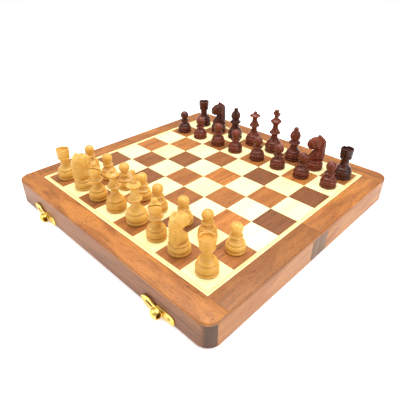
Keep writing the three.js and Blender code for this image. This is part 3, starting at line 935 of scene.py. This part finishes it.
def shape_queen():
    """The coronet's rim is scalloped into eight points."""
    queen = turned_man("queen", QUEEN)
    points, bowl = 8, 5.5
    for vertex in queen.data.vertices:
        x, y, z = vertex.co
        r = math.hypot(x, y)
        if 38.0 < z < 40.0 and r > bowl:
            dip = (r - bowl) / 1.3 * (0.5 - 0.5 * math.cos(points * math.atan2(y, x)))
            vertex.co = (x * (1 - 0.07 * dip), y * (1 - 0.07 * dip), z - 0.7 * dip)
    return in_metres(queen)


def shape_king():
    """A thick cross with short arms stands on the crown."""
    king = turned_man("king", KING)
    low, middle, top = 41.6, 48.9, 53.5
    waist, flare, arm, tip = 1.7, 2.4, 4.2, 2.0
    right = [(flare, low), (waist, middle - 2.0), (waist + 0.4, middle - 1.5), (arm, middle - tip),
             (arm, middle + tip), (waist + 0.4, middle + 1.5), (waist, middle + 1.9), (flare, top)]
    outline = right + [(-x, z) for x, z in right[::-1]]
    cross = pressed("cross", outline, 4.2, 0.45)
    cross.data.transform(TO_NEAR)
    boolean(king, cross, "UNION")
    return in_metres(king)


# The horse's head from the side: forward and up from the middle of its foot, from the chest up
# the throat, round the muzzle, over the nose, brow and ear, and down the mane.
HORSE = [(7.0, 10.4), (8.3, 12.4), (8.6, 14.5), (2.4, 22.6), (1.6, 23.8), (3.4, 24.9), (6.5, 24.8),
         (9.6, 25.6), (11.0, 27.2), (11.3, 29.6), (10.8, 32.0), (9.0, 35.0), (6.4, 37.0), (3.6, 38.0),
         (1.4, 37.9), (0.4, 38.0), (-1.0, 39.8), (-1.8, 41.0), (-3.0, 40.0), (-5.0, 38.6),
         (-8.0, 36.0), (-9.8, 32.5), (-10.2, 28.0), (-10.2, 20.0), (-9.8, 15.0), (-9.0, 10.4)]
BLANK_HALF = 6.0                  # half of the blank's thickness


def edge_distance(points, outline):
    """How far each point is from the outline's nearest side."""
    best = np.full(len(points), 1e9)
    for a, b in zip(outline, outline[1:] + outline[:1]):
        a, b = np.array(a), np.array(b)
        side = b - a
        share = np.clip(((points - a) @ side) / (side @ side), 0, 1)
        best = np.minimum(best, np.linalg.norm(points - (a + share[:, None] * side), axis=1))
    return best


def bell(distance, width):
    """One on a line or point of the carving, and falling to nothing beyond its width."""
    return np.exp(-(distance / width) ** 2)


def carve(co):
    """Moves the blank's points (across, forward, up) to the horse's carved surface.

    half is half of the head's thickness at each point; every step below takes from it or adds.
    """
    across, forward, up = co[:, 0], co[:, 1], co[:, 2]
    inside = edge_distance(co[:, 1:], HORSE)
    thick = np.interp(up, [10, 14, 20, 27, 33, 38, 41], [6.6, 6.3, 5.8, 5.6, 5.2, 4.2, 2.6])
    half = np.minimum(thick, np.interp(up, [10, 13], [5.6, 2.7]) + 0.95 * inside)
    # Flat facets: the chest and the nose come forward to blunt wedges, the back to the mane.
    chest = np.interp(up, [10.4, 12.4, 14.5, 22.6, 23.8], [7.0, 8.3, 8.6, 2.4, 1.6])
    blunt = np.interp(up, [10, 13, 17], [5.0, 4.0, 2.6])
    half = np.where(up < 23.6, np.minimum(half, blunt + 0.75 * np.maximum(chest - forward, 0)), half)
    half = np.where(up > 23.6, np.minimum(half, 2.4 + 0.5 * (11.4 - forward)), half)
    half = np.minimum(half, np.interp(up, [10, 14], [4.6, 2.2]) + 0.75 * (forward + 10.3))
    # The jaw stands proud of the neck along a line from the throat to behind the ear.
    jaw = 0.83 * (forward - 1.4) + 0.56 * (up - 24.0)
    half += 0.55 * np.clip(jaw / 0.5, -1, 1) * np.clip((up - 20.0) / 3.0, 0, 1) - 0.3
    # A hollow before the cheek, the eye in its socket, the nostril and the mouth.
    cheek = forward - 0.55 * (up - 27.0) - 2.6
    half -= 0.9 * bell(cheek, 0.9) * np.clip((up - 26.5) / 1.5, 0, 1) * (jaw > 0)
    eye = np.hypot(forward - 3.4, (up - 33.8) * 1.25)
    half += 0.7 * bell(eye, 0.8) - 0.5 * bell(eye - 1.5, 0.45)
    half -= 0.8 * bell(np.hypot(forward - 9.3, up - 29.6), 0.6)
    half -= 0.8 * bell(up - 27.2 - 0.1 * (forward - 7), 0.35) * (forward > 6.8)
    # The mane: slanted cuts behind a ridge line.
    ridge = forward + 3.4 + 0.05 * (up - 26)
    half -= 0.6 * bell(ridge, 0.45) * (up > 13) * (up < 37)
    cuts = np.clip(np.cos(2 * math.pi * (up + 0.9 * forward) / 3.1) - 0.2, 0, 1)
    half -= 0.8 * cuts * np.clip(-ridge / 0.8, 0, 1) * np.clip((up - 13) / 2, 0, 1)
    half = np.maximum(half, 0.3)
    co[:, 0] = across / BLANK_HALF * half
    # The ears stand apart.
    gap = bell(co[:, 0], 0.8) * (up > 38.6) * (forward < 0.6)
    co[:, 2] = up - 1.6 * gap
    return co


def shape_knight():
    """A horse's head carved from a thick blank, on a turned foot. It faces +Y."""
    head = pressed("knight", HORSE, 2 * BLANK_HALF, 0.02)
    outline_to_side = Matrix(((0, 0, 1, 0), (1, 0, 0, 0), (0, 1, 0, 0), (0, 0, 0, 1)))
    head.data.transform(outline_to_side)
    remesh = head.modifiers.new("remesh", "REMESH")
    remesh.mode = "VOXEL"
    remesh.voxel_size = 0.42
    bake_modifiers(head)
    count = len(head.data.vertices)
    co = np.empty(count * 3, np.float32)
    head.data.vertices.foreach_get("co", co)
    co = carve(co.reshape(-1, 3).astype(float))
    head.data.vertices.foreach_set("co", co.astype(np.float32).ravel())
    head.data.update()
    soften = head.modifiers.new("soften", "SMOOTH")
    soften.factor = 0.5
    soften.iterations = 2
    bake_modifiers(head)
    boolean(head, turned_man("pedestal", PEDESTAL), "UNION")
    return in_metres(head)


SHAPES = {"pawn": shape_pawn, "rook": shape_rook, "bishop": shape_bishop, "knight": shape_knight,
          "queen": shape_queen, "king": shape_king}
# Radius of the foot and height of each kind, as drawn above.
DRAWN_SIZES = {"pawn": (9.1, 28.8), "rook": (9.9, 34.9), "bishop": (9.6, 41.2), "knight": (10.2, 41.0),
               "queen": (10.2, 44.2), "king": (10.5, 53.5)}
# Shades of the rooks that are nearly black; other men's shades are drawn by lot.
BLACKEST = {"black_rook_h": 0.0, "black_rook_a": 0.2}
# Degrees that some men are turned from facing the other side.
TURNED = {"black_knight_b": -15, "black_knight_g": -42,
          "white_bishop_c": -135, "white_bishop_f": -135}
MAN_SMOOTH_ANGLE = math.radians(38)
PAD_INSET = 0.9 * MM
PAD_GAP = 0.01 * MM


def man(node, kind, pattern, colour):
    """A copy of its kind's shape, in the CAD piece's place and at its size, and its felt pad, whose
    near-black colour is also painted shade under the foot.
    """
    lo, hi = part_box(node)
    place = Vector(((lo.x + hi.x) / 2, (lo.y + hi.y) / 2, lo.z))
    drawn_radius, drawn_height = DRAWN_SIZES[kind]
    # A turned knight's box is wider than its foot.
    radius = drawn_radius * MM if node in TURNED else (hi.x - lo.x) / 2
    across = radius / (drawn_radius * MM)
    tall = (hi.z - lo.z) / (drawn_height * MM)
    facing = (0 if colour == "white" else math.pi) + math.radians(TURNED.get(node, 0))
    draw = random.Random(node)
    swing = math.radians(draw.uniform(-8, 8)) if kind != "knight" else 0
    figure = smooth(add_object(node + "_wood", pattern.data.copy()), MAN_SMOOTH_ANGLE)
    cut_from(figure, 2, node, BLACKEST.get(node))
    size = Matrix.Diagonal((across, across, tall, 1))
    move(figure, place, Matrix.Rotation(facing + swing, 4, "Z") @ size)
    finish_piece(figure, M[colour], node, [node])
    # The pad is felt under the foot; its near-black colour is also painted shade in the gap there.
    pad_r = radius - PAD_INSET
    depth = lo.z - TOP_Z
    pad = turn(node + "_pad", [(0, -depth), (pad_r, -depth), (pad_r, -PAD_GAP), (0, -PAD_GAP)], 40)
    move(pad, place)
    finish_piece(pad, M["pad"], node)


def men():
    patterns = {kind: make() for kind, make in SHAPES.items()}
    for colour in ("white", "black"):
        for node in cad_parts:
            if node.startswith(colour):
                kind = node.split("_")[1]
                man(node, kind, patterns[kind], colour)
    for pattern in patterns.values():
        bpy.data.objects.remove(pattern)


# ---- Studio -----------------------------------------------------------------------------

# The eye's place, in squares from the middle of the playing face: off the h1 corner, as far away
# as a person who leans over a table.
EYE = Vector((8.561, -8.905, 6.977))
EYE_AZIMUTH = math.radians(44.49)
EYE_DROP = math.radians(32.985)
LENS = 34.65                      # millimetres, on a sensor 36 mm wide

# Name, place, target, side and power of each softbox.
SOFTBOXES = [("top_light", (-0.1, 0.15, 1.2), (0, 0, 0), 0.9, 18),
             ("right_light", (1.1, 0.1, 0.8), (0, 0, 0.02), 0.7, 8),
             ("left_light", (-0.9, -0.9, 0.9), (0, 0, 0.02), 0.7, 6)]


def camera():
    data = bpy.data.cameras.new("camera")
    data.sensor_width = 36
    data.lens = LENS
    data.clip_start = 0.01
    eye = bpy.data.objects.new("camera", data)
    eye.location = EYE * SQUARE + Vector((0, 0, TOP_Z))
    eye.rotation_euler = (math.pi / 2 - EYE_DROP, 0, EYE_AZIMUTH)
    bpy.context.scene.collection.objects.link(eye)
    bpy.context.scene.camera = eye


def softbox(name, place, target, size, power):
    data = bpy.data.lights.new(name, "AREA")
    data.shape = "RECTANGLE"
    data.size = size
    data.size_y = size
    data.energy = power
    lamp = bpy.data.objects.new(name, data)
    lamp.location = place
    lamp.rotation_euler = (Vector(target) - Vector(place)).to_track_quat("-Z", "Y").to_euler()
    bpy.context.scene.collection.objects.link(lamp)


def studio():
    """A pale floor that glows a little, so that it stays white, a white sky and the softboxes."""
    corners = [(-4, -4, 0), (4, -4, 0), (4, 4, 0), (-4, 4, 0)]
    floor = add_object("floor", make_mesh("floor", corners, [(0, 1, 2, 3)]))
    s = Shader("pale_floor", roughness=0.85, specular_ior_level=0.1)
    s.surface.inputs["Base Color"].default_value = (0.93, 0.93, 0.93, 1)
    s.surface.inputs["Emission Color"].default_value = (1, 1, 1, 1)
    s.surface.inputs["Emission Strength"].default_value = 0.45
    floor.data.materials.append(s.material)
    world = bpy.data.worlds.new("studio")
    bpy.context.scene.world = world
    world.use_nodes = True
    sky = world.node_tree.nodes["Background"]
    sky.inputs["Color"].default_value = (1, 1, 1, 1)
    sky.inputs["Strength"].default_value = 0.5
    for light in SOFTBOXES:
        softbox(*light)
    view = bpy.context.scene.view_settings
    view.view_transform = "Standard"
    view.look = "None"


# ---- The set ----------------------------------------------------------------------------

camera()
studio()
for shell_name, shell_side in SIDES.items():
    shell(shell_name, shell_side)
    for hinge_name in ("left", "right"):
        hinge_leaf(hinge_name, shell_name, shell_side)
latches()
men()
